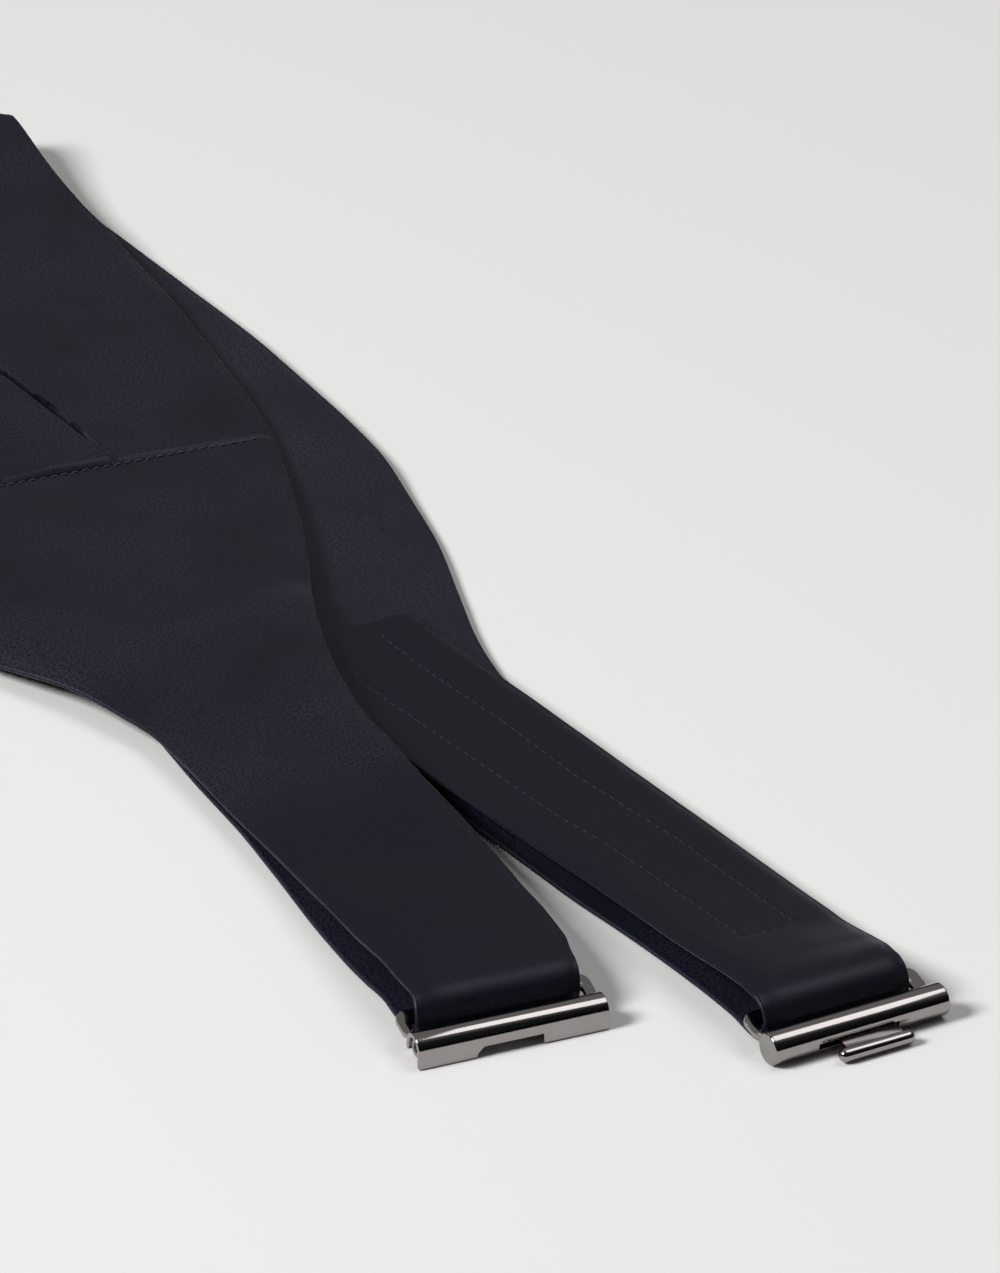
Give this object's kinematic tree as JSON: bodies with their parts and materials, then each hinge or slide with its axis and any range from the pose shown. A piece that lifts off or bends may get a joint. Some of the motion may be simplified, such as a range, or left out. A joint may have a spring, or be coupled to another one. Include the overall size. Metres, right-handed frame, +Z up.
{
  "type": "cummerbund",
  "caption": "Pleated satin cummerbund, folded in half and laid flat, with tapered side straps that loop round the hook and socket of its metal clasp.",
  "frame": {"origin": "under the middle of the folded garment, on the surface that it lies on", "axes": "+Z up, +Y from the clasps to the fold across the front, +X along the fold towards the garment's top edge"},
  "size_m": [0.1342, 0.4616, 0.0138],
  "materials": {
    "outer_satin": "satin",
    "lining_satin": "satin",
    "clasp_metal": "polished, smoky grey"
  },
  "bodies": {
    "root": {"front_pleated": "outer_satin", "side_socket": "outer_satin", "side_hook": "outer_satin", "lining": "lining_satin", "socket": "clasp_metal", "hook_frame": "clasp_metal", "hook_tongue": "clasp_metal"}
  },
  "joints": []
}
